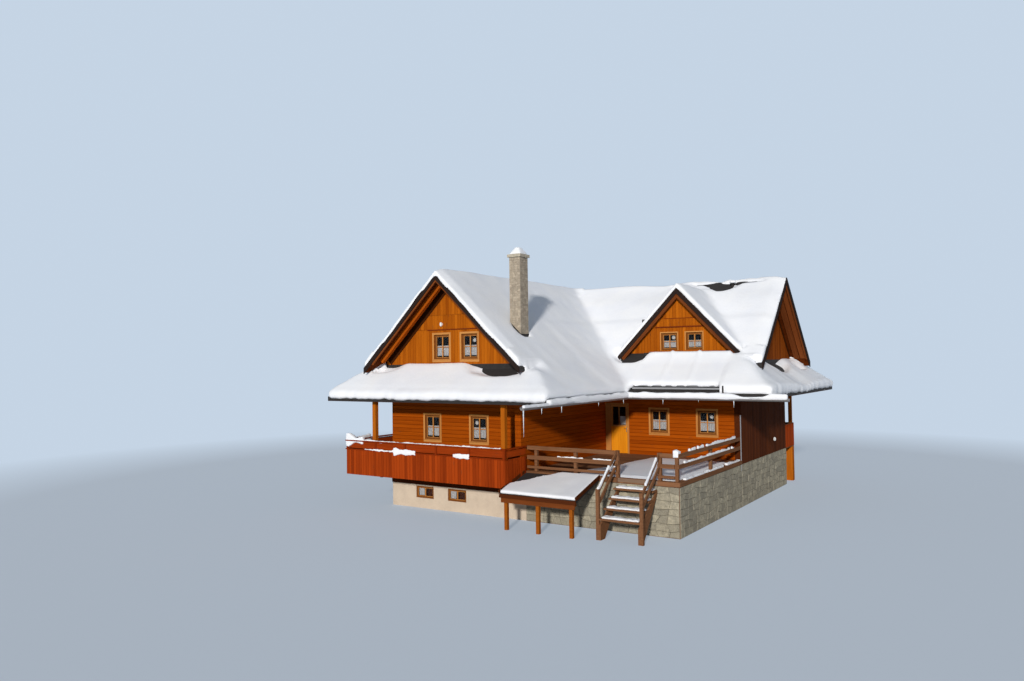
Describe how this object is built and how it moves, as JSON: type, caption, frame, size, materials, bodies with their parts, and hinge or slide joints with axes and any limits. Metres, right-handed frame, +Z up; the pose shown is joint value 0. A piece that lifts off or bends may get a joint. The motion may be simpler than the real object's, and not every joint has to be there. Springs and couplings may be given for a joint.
{
  "type": "alpine chalet",
  "caption": "Timber chalet in an L plan with steep snowy roofs over pent eaves, a dormer, log walls, a balcony, a terrace with stairs and a hinged entrance door.",
  "frame": {"origin": "middle of the front basement wall's underside, under the front ridge", "axes": "+X right along the front gable, +Y to the back, +Z up"},
  "size_m": [16.724, 18.204, 10.1302],
  "materials": {
    "plaster": "cream lime plaster, rough",
    "rubble": "split stone in mortar",
    "floor_board": "planed boards",
    "log_wall": "orange-brown stain, squared logs",
    "dark_board": "dark brown stained boards",
    "gable_board": "orange-brown stained boards",
    "roof_deck": "dark brown boards and sheet",
    "barge_board": "almost black stain",
    "gutter": "dull grey-brown sheet",
    "snow": "soft packed snow",
    "chimney_render": "beige stone and render",
    "balcony_board": "red-brown stain, satin",
    "weathered_wood": "weathered grey-brown wood",
    "door_wood": "yellow-orange varnish",
    "window_wood": "light orange varnish",
    "glass": "clear, dark room behind"
  },
  "bodies": {
    "house": {"apron_roof": "roof_deck", "attic_floor": "floor_board", "attic_glass": "glass", "attic_window_frames": "window_wood", "balcony_floor": "balcony_board", "balcony_front_boards": "balcony_board", "balcony_handrail": "balcony_board", "balcony_posts": "log_wall", "balcony_side_boards": "balcony_board", "barge_boards": "barge_board", "basement_walls": "plaster", "chimney": "chimney_render", "corner_logs": "log_wall", "door_frame": "log_wall", "dormer_gable": "gable_board", "dormer_roof": "roof_deck", "eave_beam": "barge_board", "end_gable": "gable_board", "end_wall": "dark_board", "entrance_lintel": "log_wall", "entrance_wall": "log_wall", "front_gable": "gable_board", "front_roof": "roof_deck", "front_wall": "log_wall", "ground_floor": "floor_board", "gutters": "gutter", "inner_roof": "roof_deck", "inner_wall": "log_wall", "left_roof": "roof_deck", "left_wall": "log_wall", "lower_glass": "glass", "lower_window_frames": "window_wood", "pent_roofs": "roof_deck", "plinth_walls": "rubble", "porch_posts": "log_wall", "rear_porch": "balcony_board", "rear_roof": "roof_deck", "rear_wall": "log_wall", "roof_snow": "snow", "shed_frame": "log_wall", "shed_roof": "roof_deck", "snow_caps": "snow", "stair_rails": "weathered_wood", "stairs": "weathered_wood", "terrace_floor": "weathered_wood", "terrace_front_rail": "weathered_wood", "terrace_side_rail": "weathered_wood", "terrace_walls": "weathered_wood"},
    "door": {"door_leaf": "door_wood", "door_glass": "glass"}
  },
  "joints": [
    {"name": "entrance_hinge", "type": "hinge", "parent": "house", "child": "door", "pos_m": [3.498, 6.34, 1.8], "axis": [0, 0, 1], "range_deg": [0, 90]}
  ]
}
